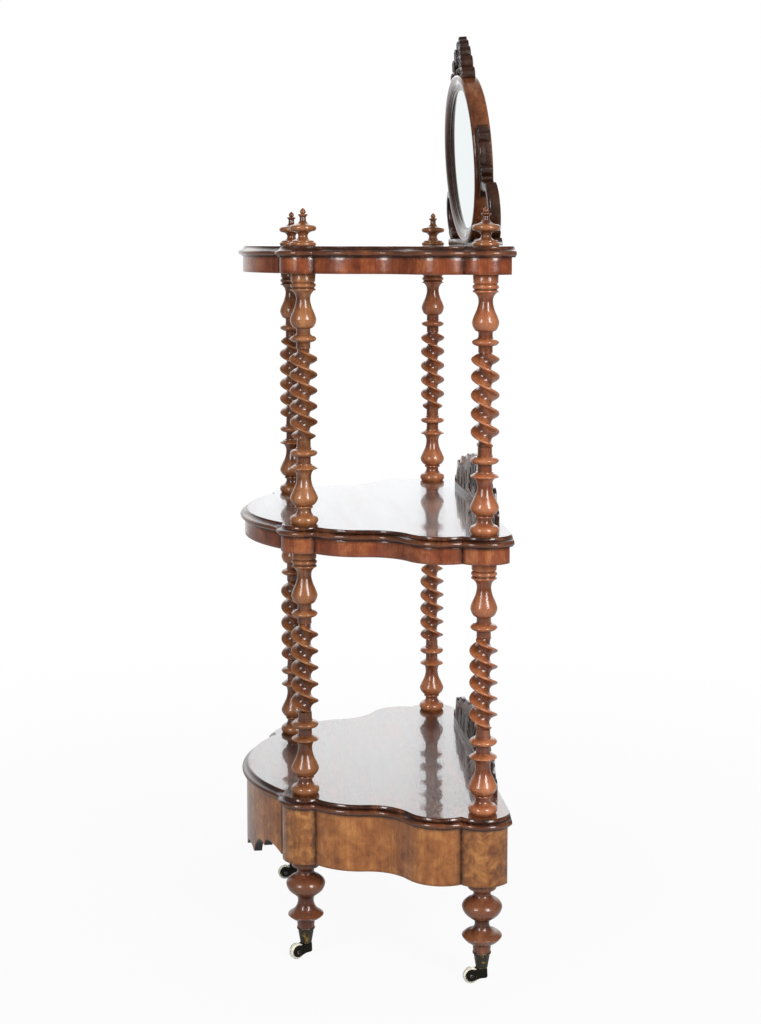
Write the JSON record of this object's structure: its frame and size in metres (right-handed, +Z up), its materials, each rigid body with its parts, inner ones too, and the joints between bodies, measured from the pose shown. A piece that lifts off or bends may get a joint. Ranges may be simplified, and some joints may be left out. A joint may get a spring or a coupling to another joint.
{
  "type": "etagere",
  "caption": "Serpentine three-tier open stand with barley-twist columns, pierced galleries, oval mirror in scroll brackets, turned feet and swivel castors.",
  "frame": {"origin": "on the floor, at the middle of the plan's bounding box", "axes": "+Z up, -Y the bowed front, X across the width"},
  "size_m": [0.6598, 0.394, 1.4439],
  "materials": {
    "shelf_walnut": "French-polished walnut veneer with a dark moulded edge",
    "frieze_walnut": "French-polished red-brown walnut",
    "apron_walnut": "French-polished golden figured walnut",
    "turned_walnut": "polished turned walnut",
    "dark_walnut": "dark stained walnut fretwork, satin",
    "mirror": "silvered plate glass",
    "pine_backboard": "unpolished softwood",
    "castor_brass": "tarnished cast brass",
    "castor_steel": "dull iron rivet",
    "castor_ceramic": "glazed white ceramic"
  },
  "bodies": {
    "stand": {"bottom_board": "shelf_walnut", "bottom_front_rail": "apron_walnut", "bottom_left_rail": "apron_walnut", "bottom_right_rail": "apron_walnut", "bottom_back_rail": "apron_walnut", "bottom_corner_blocks": "apron_walnut", "middle_board": "shelf_walnut", "middle_front_rail": "frieze_walnut", "middle_left_rail": "frieze_walnut", "middle_right_rail": "frieze_walnut", "middle_back_rail": "frieze_walnut", "middle_corner_blocks": "frieze_walnut", "top_board": "shelf_walnut", "top_front_rail": "frieze_walnut", "top_left_rail": "frieze_walnut", "top_right_rail": "frieze_walnut", "top_back_rail": "frieze_walnut", "top_corner_blocks": "frieze_walnut", "bottom_gallery": "dark_walnut", "middle_gallery": "dark_walnut", "lower_column_front_left": "turned_walnut", "lower_column_front_right": "turned_walnut", "lower_column_back_left": "turned_walnut", "lower_column_back_right": "turned_walnut", "upper_column_front_left": "turned_walnut", "upper_column_front_right": "turned_walnut", "upper_column_back_left": "turned_walnut", "upper_column_back_right": "turned_walnut", "finial_front_left": "turned_walnut", "finial_front_right": "turned_walnut", "finial_back_left": "turned_walnut", "finial_back_right": "turned_walnut", "foot_front_left": "turned_walnut", "foot_front_right": "turned_walnut", "foot_back_left": "turned_walnut", "foot_back_right": "turned_walnut", "castor_cup_front_left": "castor_brass", "castor_cup_front_right": "castor_brass", "castor_cup_back_left": "castor_brass", "castor_cup_back_right": "castor_brass", "mirror_frame": "frieze_walnut", "mirror_glass": "mirror", "mirror_backboard": "pine_backboard", "mirror_crest": "dark_walnut", "mirror_base_rail": "dark_walnut", "mirror_bracket_left": "dark_walnut", "mirror_bracket_right": "dark_walnut"},
    "castor_front_left": {"castor_horn_front_left": "castor_brass", "castor_axle_front_left": "castor_steel"},
    "wheel_front_left": {"castor_wheel_front_left": "castor_ceramic"},
    "castor_front_right": {"castor_horn_front_right": "castor_brass", "castor_axle_front_right": "castor_steel"},
    "wheel_front_right": {"castor_wheel_front_right": "castor_ceramic"},
    "castor_back_left": {"castor_horn_back_left": "castor_brass", "castor_axle_back_left": "castor_steel"},
    "wheel_back_left": {"castor_wheel_back_left": "castor_ceramic"},
    "castor_back_right": {"castor_horn_back_right": "castor_brass", "castor_axle_back_right": "castor_steel"},
    "wheel_back_right": {"castor_wheel_back_right": "castor_ceramic"}
  },
  "joints": [
    {"name": "swivel_front_left", "type": "hinge", "parent": "stand", "child": "castor_front_left", "pos_m": [-0.166, -0.103, 0.02], "axis": [0, 0, 1], "continuous": true},
    {"name": "roll_front_left", "type": "hinge", "parent": "castor_front_left", "child": "wheel_front_left", "pos_m": [-0.16422, -0.11991, 0.0123], "axis": [0.9945, 0.1045, 0], "continuous": true},
    {"name": "swivel_front_right", "type": "hinge", "parent": "stand", "child": "castor_front_right", "pos_m": [0.166, -0.103, 0.02], "axis": [0, 0, 1], "continuous": true},
    {"name": "roll_front_right", "type": "hinge", "parent": "castor_front_right", "child": "wheel_front_right", "pos_m": [0.1745, -0.11772, 0.0123], "axis": [0.866, 0.5, 0], "continuous": true},
    {"name": "swivel_back_left", "type": "hinge", "parent": "stand", "child": "castor_back_left", "pos_m": [-0.287, 0.156, 0.02], "axis": [0, 0, 1], "continuous": true},
    {"name": "roll_back_left", "type": "hinge", "parent": "castor_back_left", "child": "wheel_back_left", "pos_m": [-0.28995, 0.13926, 0.0123], "axis": [0.9848, -0.1736, 0], "continuous": true},
    {"name": "swivel_back_right", "type": "hinge", "parent": "stand", "child": "castor_back_right", "pos_m": [0.287, 0.156, 0.02], "axis": [0, 0, 1], "continuous": true},
    {"name": "roll_back_right", "type": "hinge", "parent": "castor_back_right", "child": "wheel_back_right", "pos_m": [0.28937, 0.13917, 0.0123], "axis": [0.9903, 0.1392, 0], "continuous": true}
  ]
}
